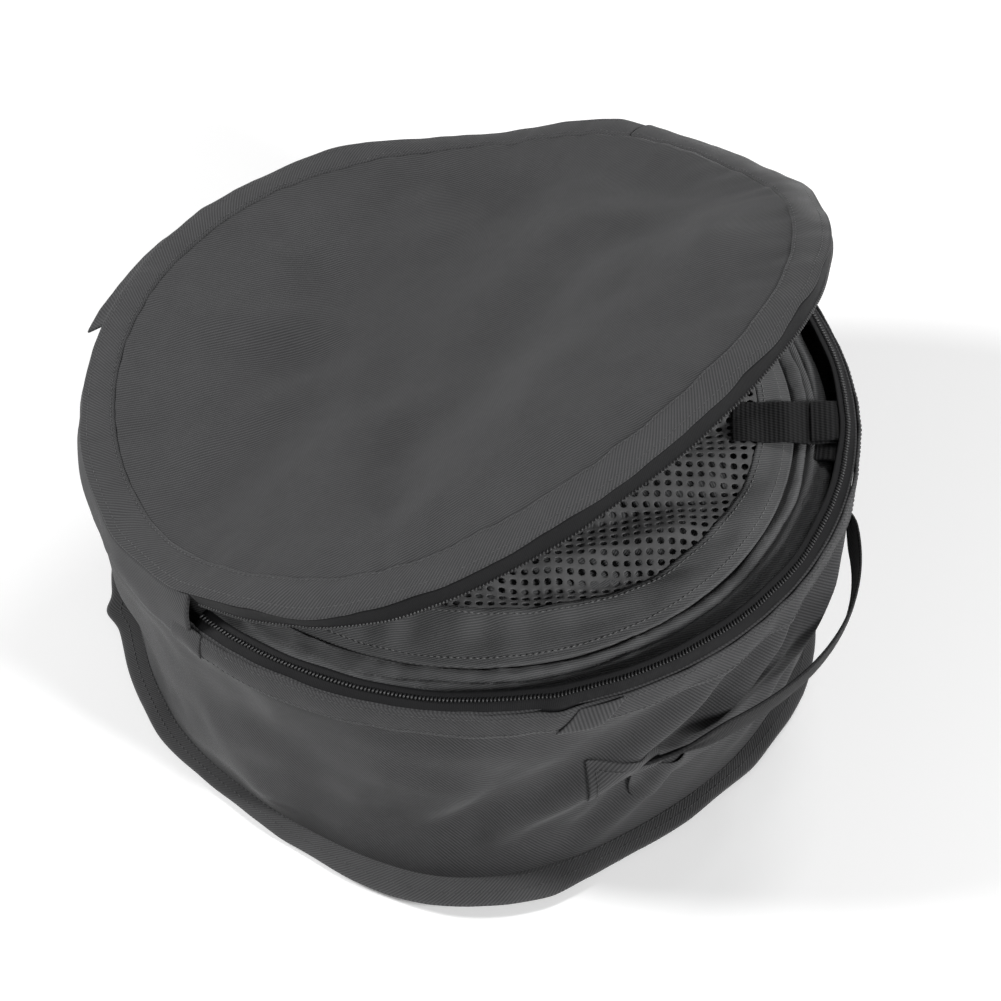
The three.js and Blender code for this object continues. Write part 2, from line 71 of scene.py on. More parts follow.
RIM_RADIUS = high("drum_wall", 0)
RIM_HEIGHT = high("drum_wall", 2)
BASE_RADIUS = high("base_panel", 0) + 2.3  # outside of the wall where it meets the base
CUFF_HEIGHT = low("drum_binding", 2)  # underside of the rim binding
BASE_HEM_RADIUS = high("base_hem", 0)
LID_RADIUS = high("lid_rear_hem", 1)
LID_LEVEL = (low("lid_rear_panel", 2) + high("lid_rear_panel", 2)) / 2
LID_SEAM_RADIUS = high("lid_rear_panel", 1)
TOP_LEVEL = high("folded_panel_upper", 2)  # of the folded cloth inside
STACK_TOP = high("hoop_sleeve_upper", 2)

CLOTH = 1.4  # doubled case cloth
HEM_CLOTH = 1.8  # a folded and sewn hem
BINDING_START = 166.9  # azimuths between which the zip runs round the front
BINDING_END = 373.1


# ---------------------------------------------------------------- camera

CAMERA_AZIMUTH = math.radians(-61)
CAMERA_ELEVATION = math.radians(47.9)
CAMERA_ROLL = math.radians(1.06)
CAMERA_DISTANCE = 2.0
CAMERA_TARGET = Vector((0, 0, 0.06))
CAMERA_SLIDE = (0.0161, 0.0156)  # right and up, which sets the case off centre in the frame


def add_camera():
    away = Vector((
        math.sin(CAMERA_AZIMUTH) * math.cos(CAMERA_ELEVATION),
        -math.cos(CAMERA_AZIMUTH) * math.cos(CAMERA_ELEVATION),
        math.sin(CAMERA_ELEVATION),
    ))
    level = Vector((math.cos(CAMERA_AZIMUTH), math.sin(CAMERA_AZIMUTH), 0))
    upright = away.cross(level)
    right = level * math.cos(CAMERA_ROLL) + upright * math.sin(CAMERA_ROLL)
    up = upright * math.cos(CAMERA_ROLL) - level * math.sin(CAMERA_ROLL)
    place = CAMERA_TARGET + away * CAMERA_DISTANCE + right * CAMERA_SLIDE[0] + up * CAMERA_SLIDE[1]
    data = bpy.data.cameras.new("camera")
    data.lens = 135.2
    data.sensor_width = 36
    camera = bpy.data.objects.new("camera", data)
    camera.matrix_world = Matrix.Translation(place) @ Matrix((right, up, away)).transposed().to_4x4()
    bpy.context.scene.collection.objects.link(camera)
    bpy.context.scene.camera = camera


add_camera()


# ---------------------------------------------------------------- small shape maths, in mm

def smooth(value, start, end):
    """0 before start, 1 after end, and a soft rise between them."""
    share = min(max((value - start) / (end - start), 0), 1)
    return share * share * (3 - 2 * share)


def hump(value, width):
    """1 at zero, fading to nothing beyond about twice the width."""
    return math.exp(-((value / width) ** 2))


def turn(azimuth, centre):
    """Degrees from centre to azimuth, between -180 and 180."""
    return (azimuth - centre + 180) % 360 - 180


def ripple(x, y, z, size):
    """Soft random swell between about -1 and 1, with waves of about that size."""
    return noise.noise(Vector((x, y, z)) / size) * 1.6


def polar(radius, azimuth, z):
    angle = math.radians(azimuth)
    return Vector((radius * math.cos(angle), radius * math.sin(angle), z))


def crease(x, y, start, end, width):
    """Height of a soft ridge from start to end: 1 along its middle, fading at both ends."""
    along = Vector(end) - Vector(start)
    offset = Vector((x, y)) - Vector(start)
    share = offset.dot(along) / along.length_squared
    across = abs(offset.x * along.y - offset.y * along.x) / along.length
    return hump(across, width) * smooth(share, -0.15, 0.25) * (1 - smooth(share, 0.6, 1.15))


# ---------------------------------------------------------------- the lid's bend and folds

LID_BEND = 34.0  # degrees that the lid's front has been folded up
LID_DROOP = 12.0  # degrees that its tip hangs back down
LID_STEP = 2.0
LID_SIDE_SAG = 36.0  # how far the raised part of the lid hangs down at both sides
LID_LEAN = 7.0  # and how much more at +X than at -X


def lid_line():
    """Side view of the bent lid: for each step forwards from the hinge, its y, z and slope."""
    line = []
    y, z = 210.0, LID_LEVEL
    for index in range(round(430 / LID_STEP)):
        forward = -210 + index * LID_STEP
        slope = LID_BEND * smooth(forward, -133, -9) - LID_DROOP * smooth(forward, -5, 190)
        line.append((y, z, math.radians(slope)))
        y -= LID_STEP * math.cos(math.radians(slope))
        z += LID_STEP * math.sin(math.radians(slope))
    return line


LID_LINE = lid_line()


def on_lid(x, y, up):
    """Where a point of the flat lid lies once it is bent, up mm off the cloth's middle."""
    place = (210 - y) / LID_STEP
    index = min(max(int(place), 0), len(LID_LINE) - 2)
    line_y, line_z, slope = (
        before + (after - before) * (place - index)
        for before, after in zip(LID_LINE[index], LID_LINE[index + 1])
    )
    side = x / 190
    sag = (LID_SIDE_SAG * side * side + LID_LEAN * side) * smooth(-y, -60, 120)
    raised = up - 0.3 * sag
    return Vector((x, line_y + raised * math.sin(slope), line_z - sag + up * math.cos(slope)))


LID_CREASES = [  # start, end, width, height
    ((-40, 168), (10, 60), 16, 3.0),
    ((60, 160), (20, 90), 13, -2.5),
    ((-120, 110), (-40, 60), 15, 2.4),
    ((120, 100), (60, 60), 15, 2.2),
    ((-150, -60), (-60, -10), 22, -2.2),
    ((90, -30), (-130, -60), 30, -3.2),
    ((110, -100), (20, -150), 18, 2.4),
    ((150, 20), (60, -60), 24, 2.6),
    ((-110, 20), (60, 70), 24, 2.0),
]


def lid_swell(x, y):
    """How far the slack lid cloth stands off its flat shape."""
    radius = math.hypot(x, y)
    azimuth = math.degrees(math.atan2(y, x))
    inner = 1 - smooth(radius, 135, LID_SEAM_RADIUS)
    folds = 4.6 * ripple(x, y, 11, 95) + 1.9 * ripple(x, y, 31, 42)
    for start, end, width, height in LID_CREASES:
        folds += 1.6 * height * crease(x, y, start, end, width)
    pucker = 1.1 * ripple(azimuth, radius / 9, 3, 4.2) * hump(radius - LID_SEAM_RADIUS, 19)
    return folds * (0.18 + 0.82 * inner) + pucker


def lid_edge(azimuth):
    """How far the hem's outer edge stands out, and how far it tips down."""
    out = 1.8 * ripple(azimuth, 5, 0, 26) + 0.8 * ripple(azimuth, 9, 0, 8)
    out -= 2.0 * hump(turn(azimuth, 97), 6)
    out += 3.0 * hump(turn(azimuth, -41), 4.5) + 2.5 * hump(turn(azimuth, 76), 3.5)
    tip = -4.0 + 2.4 * ripple(azimuth, 17, 0, 20) + 1.0 * ripple(azimuth, 23, 0, 7)
    return out, tip


def on_lid_hem(azimuth, share, up=0.0):
    """A point of the lid's hem: share 0 at the seam, 1 at the outer edge."""
    out, tip = lid_edge(azimuth)
    seam = LID_SEAM_RADIUS - 0.6
    radius = seam + (LID_RADIUS - seam + out) * share
    flat = polar(radius, azimuth, 0)
    inner = polar(seam, azimuth, 0)
    base = lid_swell(inner.x, inner.y) * (1 - share)
    swell = 0.8 * math.sin(math.pi * share) + 0.35 * ripple(azimuth, share * 4, 41, 2.6)
    return on_lid(flat.x, flat.y, base + tip * share ** 1.5 + swell + up)


# ---------------------------------------------------------------- the drum's wall

WALL_FOLDS = [  # azimuth and height of each end, width in mm, height in mm
    ((-100, 146), (-137, 8), 8, -9.0),
    ((-94, 152), (-130, 14), 8, 7.5),
    ((-84, 130), (-124, 52), 7, -8.0),
    ((-106, 150), (-150, 20), 9, 8.0),
    ((-76, 138), (-104, 24), 9, 6.0),
    ((-70, 120), (-96, 12), 8, -6.0),
    ((-116, 140), (-158, 36), 9, -5.0),
    ((-160, 120), (-172, 10), 16, 3.0),
    ((-145, 100), (-152, 5), 10, -3.0),
    ((-176, 60), (-190, 5), 14, 3.4),
    ((-60, 110), (-52, 15), 15, 3.4),
    ((-30, 120), (-42, 20), 14, -3.0),
    ((5, 110), (-8, 15), 16, 3.4),
    ((40, 120), (52, 10), 15, -2.6),
    ((75, 118), (66, 12), 14, 3.2),
    ((112, 126), (121, 8), 15, 3.6),
    ((150, 110), (142, 12), 15, -3.0),
]
INWARD_LIMIT = 4.4  # the folded hoops stand close inside the wall


def wall_radius(z):
    """Outside of the plain wall: a cone, then an upright cuff."""
    return BASE_RADIUS + (RIM_RADIUS - BASE_RADIUS) * min(max(z, 0) / CUFF_HEIGHT, 1)


def wall_swell(azimuth, z):
    """How far the slack wall stands out from its plain shape."""
    radius = wall_radius(z)
    loose = smooth(z, -6, 34) * (1 - smooth(z, CUFF_HEIGHT - 18, RIM_HEIGHT))
    swell = 3.6 * ripple(*polar(radius, azimuth, z), 62) + 1.7 * ripple(*polar(radius, azimuth, z), 27)
    for start, end, width, height in WALL_FOLDS:
        around = radius * math.radians(1)
        place = turn(azimuth, start[0]) * around
        far = turn(end[0], start[0]) * around
        swell += height * crease(place, z, (0, start[1]), (far, end[1]), width)
    out = swell * loose
    soft = out if out > -1 else -1 - (INWARD_LIMIT - 1) * (1 - math.exp((out + 1) / (INWARD_LIMIT - 1)))
    return soft + hem_bump(azimuth) * (1 - smooth(z, 0, 60)) * 0.55


def hem_bump(azimuth):
    """The base is pushed out of round here and there."""
    bump = 21.0 * hump(turn(azimuth, 209), 19) + 9.0 * hump(turn(azimuth, 112), 10)
    return bump - 3.0 * hump(turn(azimuth, 168), 12) - 2.0 * hump(turn(azimuth, 252), 13)


def on_wall(azimuth, z, out=0.0):
    return polar(wall_radius(z) - CLOTH / 2 + wall_swell(azimuth, z) + out, azimuth, z)


# ---------------------------------------------------------------- making pieces

def grid(along, across, place, cloth, closed=False):
    """A cloth grid laid out by place(u, v), in mm. cloth(u, v) is the same spot on the flat cloth."""
    mesh = bmesh.new()
    bmesh.ops.create_grid(mesh, x_segments=along, y_segments=across, size=0.5)
    weave = mesh.loops.layers.uv.new("weave")
    for face in mesh.faces:
        for loop in face.loops:
            spot = cloth(loop.vert.co.x + 0.5, loop.vert.co.y + 0.5)
            loop[weave].uv = (spot[0] * MM, spot[1] * MM)
    for vert in mesh.verts:
        vert.co = place(vert.co.x + 0.5, vert.co.y + 0.5) * MM
    if closed:
        bmesh.ops.remove_doubles(mesh, verts=mesh.verts, dist=0.00002)
        bmesh.ops.recalc_face_normals(mesh, faces=mesh.faces)
    return mesh


def add_piece(name, mesh, material, thickness=0.0, offset=0.0, levels=0):
    """Writes a bmesh to a new object, and gives it its wall and its smoothing."""
    data = bpy.data.meshes.new(name)
    mesh.to_mesh(data)
    mesh.free()
    data.polygons.foreach_set("use_smooth", [True] * len(data.polygons))
    data.materials.append(material)
    piece = bpy.data.objects.new(name, data)
    bpy.context.scene.collection.objects.link(piece)
    if thickness:
        wall = piece.modifiers.new("thickness", "SOLIDIFY")
        wall.thickness = thickness * MM
        wall.offset = offset
        wall.use_quality_normals = True
    if levels:
        rounded = piece.modifiers.new("rounding", "SUBSURF")
        rounded.levels = levels
        rounded.render_levels = levels
    return piece


def follow_lid(piece):
    """Bakes the piece's placement into its mesh. The lid's cloth bends between the drum and the flap; that bend is
    already in the piece's shape.
    """
    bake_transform(piece)


DASH_BATCH = 24  # made together, because a small mesh takes new shapes faster


def dashes(places, length, width, height):
    """A row of stitches or teeth: places gives each one's middle, its direction and its upward side."""
    row = bmesh.new()
    for first in range(0, len(places), DASH_BATCH):
        batch = bmesh.new()
        for middle, direction, upward in places[first:first + DASH_BATCH]:
            forward = direction.normalized()
            side = upward.cross(forward).normalized()
            turned = Matrix((forward * length / 2, side * width / 2, forward.cross(side) * height / 2))
            matrix = Matrix.Scale(MM, 4) @ Matrix.Translation(middle) @ turned.transposed().to_4x4()
            bmesh.ops.create_uvsphere(batch, u_segments=6, v_segments=5, radius=1, matrix=matrix)
        data = bpy.data.meshes.new("dashes")
        batch.to_mesh(data)
        batch.free()
        row.from_mesh(data)
        bpy.data.meshes.remove(data)
    return row


def along_path(path, start, end, pitch, upward):
    """Evenly spaced places from start to end along path(t), for dashes()."""
    samples = [path(start + (end - start) * i / 400) for i in range(401)]
    lengths = [0.0]
    for before, after in zip(samples, samples[1:]):
        lengths.append(lengths[-1] + (after - before).length)
    places = []
    cursor = 0
    for step in range(int(lengths[-1] / pitch)):
        want = (step + 0.5) * pitch
        while lengths[cursor + 1] < want:
            cursor += 1
        share = (want - lengths[cursor]) / (lengths[cursor + 1] - lengths[cursor])
        t = start + (end - start) * (cursor + share) / 400
        middle = samples[cursor].lerp(samples[cursor + 1], share)
        places.append((middle, samples[cursor + 1] - samples[cursor], upward(t)))
    return places


def stitch_row(name, path, start, end, upward, material, pitch=3.2):
    """A row of lockstitches, lying just proud of the cloth."""
    return add_piece(name, dashes(along_path(path, start, end, pitch, upward), 2.3, 0.55, 0.5), material)


# ---------------------------------------------------------------- shader maths

class Number:
    """A value that varies over a surface, so that shader maths is written as an expression."""

    def __init__(self, finish, socket):
        self.finish = finish
        self.socket = socket

    def __add__(self, other): return self.finish.maths("ADD", self, other)

    def __radd__(self, other): return self.finish.maths("ADD", other, self)

    def __sub__(self, other): return self.finish.maths("SUBTRACT", self, other)

    def __rsub__(self, other): return self.finish.maths("SUBTRACT", other, self)

    def __mul__(self, other): return self.finish.maths("MULTIPLY", self, other)

    def __rmul__(self, other): return self.finish.maths("MULTIPLY", other, self)

    def __truediv__(self, other): return self.finish.maths("DIVIDE", self, other)

    def sine(self): return self.finish.maths("SINE", self)

    def size(self): return self.finish.maths("ABSOLUTE", self)

    def above(self, level): return self.finish.maths("GREATER_THAN", self, level)

    def clamped(self): return self.finish.maths("MINIMUM", self.finish.maths("MAXIMUM", self, 0.0), 1.0)


class Finish:
    """One material, built from nodes."""

    def __init__(self, name):
        self.material = bpy.data.materials.new(name)
        self.material.use_nodes = True
        self.tree = self.material.node_tree
        self.tree.nodes.clear()

    def node(self, kind, settings, sockets):
        """Adds a node: its settings first, then a value or a link for each socket."""
        node = self.tree.nodes.new(kind)
        stops = settings.pop("stops", None)
        for name, value in settings.items():
            setattr(node, name, value)
        if stops:
            for index, (position, colour) in enumerate(stops):
                stop = node.color_ramp.elements[index] if index < 2 else node.color_ramp.elements.new(position)
                stop.position = position
                stop.color = (*colour, 1)
        for name, value in sockets.items():
            value = value.socket if isinstance(value, Number) else value
            if isinstance(value, bpy.types.NodeSocket):
                self.tree.links.new(value, node.inputs[name])
            else:
                node.inputs[name].default_value = value
        return node

    def maths(self, operation, *values):
        node = self.node("ShaderNodeMath", {"operation": operation}, dict(enumerate(values)))
        return Number(self, node.outputs[0])

    def place(self, on_cloth):
        """The surface's own coordinates in metres: on the flat cloth, or in the object's space."""
        if on_cloth:
            return self.node("ShaderNodeUVMap", {"uv_map": "weave"}, {}).outputs["UV"]
        return self.node("ShaderNodeTexCoord", {}, {}).outputs["Object"]

    def parts(self, vector):
        split = self.node("ShaderNodeSeparateXYZ", {}, {"Vector": vector})
        return [Number(self, output) for output in split.outputs]

    def mottle(self, vector, size, detail=2.0):
        """Soft random values between 0 and 1, in patches of about that size in mm."""
        cloud = self.node("ShaderNodeTexNoise", {}, {
            "Vector": vector, "Scale": 1 / (size * MM), "Detail": detail, "Roughness": 0.55})
        return Number(self, cloud.outputs["Fac"])

    def mix(self, share, first, second):
        """A colour between two colours."""
        node = self.node("ShaderNodeMix", {"data_type": "RGBA"}, {0: share})
        for index, colour in ((6, first), (7, second)):
            if isinstance(colour, bpy.types.NodeSocket):
                self.tree.links.new(colour, node.inputs[index])
            else:
                node.inputs[index].default_value = (*colour, 1)
        return node.outputs[2]

    def bump(self, height, depth):
        """A normal for relief of that depth in mm."""
        node = self.node("ShaderNodeBump", {}, {"Height": height, "Distance": depth * MM, "Strength": 1.0})
        return node.outputs["Normal"]

    def surface(self, colour, roughness, normal, **fixed):
        shader = self.node("ShaderNodeBsdfPrincipled", {}, {
            "Base Color": colour, "Roughness": roughness, "Normal": normal, **fixed})
        self.node("ShaderNodeOutputMaterial", {}, {"Surface": shader.outputs["BSDF"]})
        return self.material


# ---------------------------------------------------------------- materials

def twill(name, dark, light, pitch=2.2, depth=0.16, on_cloth=True, sheen=0.10):
    """Twill cloth: fine diagonal ribs, each broken up by the threads that cross it."""
    finish = Finish(name)
    place = finish.place(on_cloth)
    x, y, z = finish.parts(place)
    across = x + y + z
    along = x - y
    rib = 0.5 + 0.5 * (across * (2 * math.pi / (pitch * MM))).sine()
    thread = 0.5 + 0.5 * (along * (2 * math.pi / (pitch * 0.55 * MM))).sine()
    slub = finish.mottle(place, 2.2, 1.0)
    patch = finish.mottle(place, 46)
    worn = finish.mottle(place, 9)
    weave = rib * (0.62 + 0.38 * thread)
    share = 0.72 * weave + 0.34 * patch + 0.16 * worn + 0.12 * slub - 0.18
    colour = finish.mix(share.clamped(), dark, light)
    roughness = 0.66 + 0.14 * patch + 0.08 * (1 - weave)
    return finish.surface(colour, roughness, finish.bump(weave + 0.3 * slub, depth), **{
        "Specular IOR Level": 0.16, "Sheen Weight": sheen, "Sheen Roughness": 0.38})


def ribbed(name, dark, light, pitch, depth, gloss):
    """Narrow woven goods: ribs across the width, with a finer thread along them."""
    finish = Finish(name)
    place = finish.place(True)
    x, y, _ = finish.parts(place)
    rib = 0.5 + 0.5 * (x * (2 * math.pi / (pitch * MM))).sine()
    row = 0.5 + 0.5 * (y * (2 * math.pi / (pitch * 0.8 * MM)) + x * (math.pi / (pitch * MM))).sine()
    fuzz = finish.mottle(place, 3.0)
    weave = 0.6 * rib + 0.4 * row
    colour = finish.mix((0.7 * weave + 0.4 * fuzz - 0.1).clamped(), dark, light)
    return finish.surface(colour, gloss + 0.2 * fuzz, finish.bump(weave, depth), **{
        "Specular IOR Level": 0.16, "Sheen Weight": 0.02, "Sheen Roughness": 0.4})


def thread(name, dark, light):
    """Sewing thread, with its twist showing."""
    finish = Finish(name)
    place = finish.place(False)
    x, y, z = finish.parts(place)
    twist = 0.5 + 0.5 * ((x + y + z) * (2 * math.pi / (0.9 * MM))).sine()
    colour = finish.mix((0.5 * twist + 0.5 * finish.mottle(place, 5)).clamped(), dark, light)
    return finish.surface(colour, 0.55 + 0.2 * twist, finish.bump(twist, 0.06), **{"Sheen Weight": 0.2})


def moulded(name, dark, light, roughness):
    """Nylon coil or lacquer: nearly plain, with fine handling marks."""
    finish = Finish(name)
    place = finish.place(False)
    patch = finish.mottle(place, 6)
    grain = finish.mottle(place, 0.8, 3.0)
    colour = finish.mix((0.7 * patch + 0.3 * grain).clamped(), dark, light)
    return finish.surface(colour, roughness + 0.18 * grain, finish.bump(grain, 0.012), **{
        "Specular IOR Level": 0.5})


def spring_steel(name):
    """Blued spring band with rolling marks and a little oil."""
    finish = Finish(name)
    place = finish.place(False)
    _, _, z = finish.parts(place)
    streak = finish.mottle(place, 3.5, 4.0)
    rolled = 0.5 + 0.5 * (z * (2 * math.pi / (0.6 * MM)) + 6 * streak).sine()
    colour = finish.mix((0.6 * streak + 0.3 * rolled).clamped(), (0.20, 0.21, 0.23), (0.42, 0.42, 0.42))
    return finish.surface(colour, 0.28 + 0.2 * streak, finish.bump(rolled, 0.01), **{"Metallic": 1.0})


CASE_CLOTH = twill("case_twill", (0.024, 0.024, 0.025), (0.078, 0.078, 0.080))
HEM_CLOTH_FINISH = twill("hem_twill", (0.028, 0.028, 0.029), (0.080, 0.080, 0.082), pitch=2.0)
# Painted light: the base hem is the same cloth as the wall, and this copy of the case twill is made lighter to make
# up for the shade that the hem sits in.
BASE_HEM_CLOTH_PAINTED_LIGHT = twill("base_hem_twill_painted_light", (0.036, 0.036, 0.037), (0.104, 0.104, 0.106), pitch=2.0)
PANEL_CLOTH = twill("panel_twill", (0.060, 0.061, 0.062), (0.165, 0.166, 0.169), pitch=1.9)
PADDED_CLOTH = twill("padded_twill", (0.060, 0.061, 0.062), (0.165, 0.166, 0.169), pitch=1.9, on_cloth=False)
PATCH_CLOTH = twill("patch_twill", (0.034, 0.034, 0.035), (0.095, 0.095, 0.097), pitch=2.0)
MESH_YARN = twill("mesh_yarn", (0.070, 0.070, 0.071), (0.190, 0.190, 0.192), pitch=0.7, depth=0.05)
TAPE = ribbed("zip_tape", (0.0025, 0.0025, 0.0027), (0.010, 0.010, 0.011), 0.9, 0.06, 0.55)
WEBBING = ribbed("webbing", (0.0022, 0.0022, 0.0024), (0.014, 0.014, 0.015), 2.4, 0.22, 0.50)
COIL = moulded("nylon_coil", (0.004, 0.004, 0.0045), (0.014, 0.014, 0.015), 0.30)
LACQUER = moulded("black_lacquer", (0.006, 0.006, 0.007), (0.020, 0.020, 0.022), 0.22)
THREAD_DARK = thread("thread_dark", (0.012, 0.012, 0.013), (0.045, 0.045, 0.047))
THREAD_LIGHT = thread("thread_light", (0.09, 0.09, 0.09), (0.22, 0.22, 0.22))
STEEL = spring_steel("spring_steel")


# ---------------------------------------------------------------- case

def build_wall():
    def place(u, v):
        return on_wall(360 * u, RIM_HEIGHT * v)

    def cloth(u, v):
        return math.radians(360 * u) * RIM_RADIUS, RIM_HEIGHT * v

    wall = add_piece("drum_skin", grid(420, 44, place, cloth, closed=True), CASE_CLOTH, CLOTH)
    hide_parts("drum_wall")
    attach(wall, "case")


def build_base():
    def place(u, v):
        radius = (BASE_RADIUS - 1) * v ** 0.8
        bump = hem_bump(360 * u) * 0.5 * smooth(v, 0.6, 1)
        return polar(radius + bump, 360 * u, 1.2 + 0.5 * ripple(*polar(radius, 360 * u, 0), 60))

    def cloth(u, v):
        return polar((BASE_RADIUS - 1) * v ** 0.8, 360 * u, 0).xy

    base = add_piece("base_skin", grid(240, 26, place, cloth, closed=True), CASE_CLOTH, CLOTH)
    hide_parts("base_panel")
    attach(base, "case")


def on_base_hem(azimuth, share, up=0.0):
    """A point of the base hem: share 0 at the wall, 1 at the outer edge."""
    wave = 1.5 * ripple(azimuth, 2, 0, 15) + 0.6 * ripple(azimuth, 6, 0, 5)
    inner = BASE_RADIUS - 1.5 + wall_swell(azimuth, 3)
    outer = BASE_HEM_RADIUS - 3 + hem_bump(azimuth) + 1.6 * ripple(azimuth, 12, 0, 12)
    outer += 5.0 * hump(turn(azimuth, 124), 2.2)
    radius = inner + (outer - inner) * share
    lift = 2.6 + (wave + 1.6 + 4.5 * hump(turn(azimuth, 207), 10) + 4 * hump(turn(azimuth, 121), 6)) * share
    return polar(radius, azimuth, max(lift, 1.6) + 0.6 * math.sin(math.pi * share) + up)


def build_base_hem():
    hem = add_piece("base_hem_strip", grid(
        460, 6, lambda u, v: on_base_hem(360 * u, v),
        lambda u, v: (math.radians(360 * u) * BASE_HEM_RADIUS, 18 * v), closed=True), BASE_HEM_CLOTH_PAINTED_LIGHT, HEM_CLOTH,
        levels=1)
    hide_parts("base_hem")
    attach(hem, "case")
    for row, share in (("inner", 0.22), ("outer", 0.62)):
        stitches = stitch_row(f"base_hem_stitches_{row}", lambda t, s=share: on_base_hem(t, s, 1.05), 0, 360,
                              lambda t: Vector((0, 0, 1)), THREAD_DARK)
        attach(stitches, "case")


def on_binding(azimuth, share, out=0.0):
    """A point of the rim binding: share 0 at its lower edge, 1 at its top."""
    z = CUFF_HEIGHT - 0.5 + (RIM_HEIGHT + 0.8 - CUFF_HEIGHT) * share + 1.0 * ripple(azimuth, 8, 0, 11)
    swell = 1.1 + 0.7 * math.sin(math.pi * share) + 0.5 * ripple(azimuth, share * 3, 5, 4)
    swell += 2.0 * hump(turn(azimuth, -138), 2.6) * (0.4 + share)
    return polar(wall_radius(z) + max(wall_swell(azimuth, z), -0.6) + swell + out, azimuth, z)


def build_binding():
    def azimuth(u):
        return BINDING_START + (BINDING_END - BINDING_START) * u

    binding = add_piece("rim_binding", grid(
        300, 6, lambda u, v: on_binding(azimuth(u), v),
        lambda u, v: (math.radians(azimuth(u)) * RIM_RADIUS, 16 * v)), HEM_CLOTH_FINISH, HEM_CLOTH, levels=1)
    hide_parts("drum_binding")
    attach(binding, "case")
    for row, share in (("lower", 0.16), ("upper", 0.86)):
        stitches = stitch_row(f"binding_stitches_{row}", lambda t, s=share: on_binding(t, s, 1.0), BINDING_START,
                              BINDING_END, lambda t: polar(1, t, 0), THREAD_DARK)
        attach(stitches, "case")

    def overlap(u, v):
        point = on_binding(-138.5 + 7 * u + 3.5 * v, v, 1.9 + 0.5 * math.sin(math.pi * u))
        return point

    lap = add_piece("binding_lap", grid(12, 8, overlap, lambda u, v: (24 * u, 16 * v)), HEM_CLOTH_FINISH, 1.0,
                    levels=1)
    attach(lap, "case")


def build_gusset():
    """The cloth that joins the lid to the drum behind the fold."""
    start, end = BINDING_END - 360, BINDING_START

    def azimuth(u):
        return start + (end - start) * u

    def place(u, v):
        foot = on_binding(azimuth(u), 0.1, 0.2)
        head = on_lid_hem(azimuth(u), 0.93, -1.8)
        bulge = 1.6 * math.sin(math.pi * v) * (1 + ripple(azimuth(u), v * 9, 2, 9))
        return foot.lerp(head, v) + polar(bulge, azimuth(u), 0)

    gusset = add_piece("rear_gusset", grid(
        200, 12, place, lambda u, v: (math.radians(azimuth(u)) * RIM_RADIUS, 30 * v)), CASE_CLOTH, CLOTH)
    follow_lid(gusset)
    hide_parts("hinge_gusset")


# ---------------------------------------------------------------- zip

# Inner edge of the drum tape, where its band of painted shade past the coil ends.
SHADE_BAND_EDGE_RADIUS = 188.6
SHADE_BAND_EDGE_LEVEL = 155.6
LID_TAPE_FOOT = 197.0  # radius of the lid tape's lower edge
TOOTH_PITCH = 1.9


def on_drum_tape(azimuth, share, up=0.0):
    """The drum's zip tape leans in from the binding: share 0 at the rim, 1 at its inner edge on the coil side. The
    coil lies near the middle, so the black tape past it is partly real tape and partly a painted shade band that
    stands in for the shade gap between the coil and the folded panel.
    """
    foot = on_binding(azimuth, 0.85, -2.0)
    foot.z = RIM_HEIGHT - 1
    head = polar(SHADE_BAND_EDGE_RADIUS + 0.7 * ripple(azimuth, 3, 0, 9), azimuth, SHADE_BAND_EDGE_LEVEL)
    head.z += 0.8 * ripple(azimuth, 7, 0, 13)
    return foot.lerp(head, share) + Vector((0, 0, up + 0.8 * math.sin(math.pi * share)))


def on_lid_tape(azimuth, share, up=0.0):
    """The lid's zip tape hangs from the hem's edge: share 0 at the hem, 1 at the coil edge."""
    hem = on_lid_hem(azimuth, 0.95, -0.4)
    flat = polar(LID_TAPE_FOOT + 0.7 * ripple(azimuth, 19, 0, 9), azimuth, 0)
    head = on_lid(flat.x, flat.y, -14.0 + 0.8 * ripple(azimuth, 29, 0, 12))
    return hem.lerp(head, share) + Vector((0, 0, up))


def coil_teeth(name, path, share, offset, nodes):
    """The nylon coil's teeth, one short rounded bar across the tape at each pitch."""
    rows = along_path(lambda t: path(t, share, offset), BINDING_START, BINDING_END, TOOTH_PITCH,
                      lambda t: Vector((0, 0, 1)))
    places = []
    for middle, direction, upward in rows:
        inward = Vector((-middle.x, -middle.y, 4.0)).normalized()
        places.append((middle, inward * 3 + direction.normalized() * 0.5, upward))
    teeth = add_piece(name, dashes(places, 3.6, 1.35, 2.0), COIL)
    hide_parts(*nodes)
    return teeth


